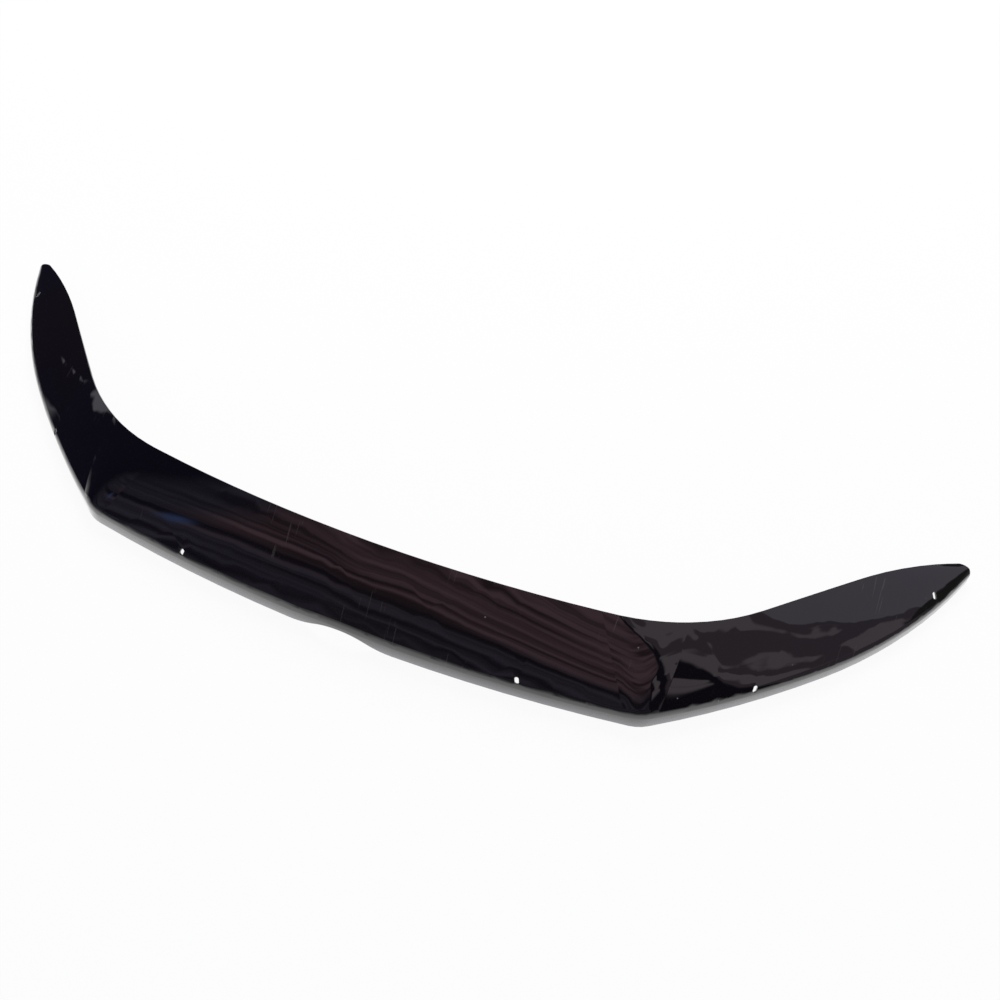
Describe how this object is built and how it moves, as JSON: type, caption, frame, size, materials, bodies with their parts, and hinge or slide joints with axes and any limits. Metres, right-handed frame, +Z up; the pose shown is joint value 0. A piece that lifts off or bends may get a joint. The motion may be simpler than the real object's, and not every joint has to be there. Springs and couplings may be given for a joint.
{
  "type": "hood bug deflector",
  "caption": "Wide U-shaped smoked plastic shield that follows the front edge of a car hood, leaning back over a narrow lip, with a notch in the middle, screw slots and tapered round tips.",
  "frame": {"origin": "middle of the footprint, in the plane of the trimmed lower edge", "axes": "+X across the car to the picture's right, +Y to the rear, +Z up; the tips point to +Y"},
  "size_m": [1.499, 0.4046, 0.108],
  "materials": {
    "smoked_acrylic": "gloss"
  },
  "bodies": {
    "root": {"deflector_shield": "smoked_acrylic"}
  },
  "joints": []
}
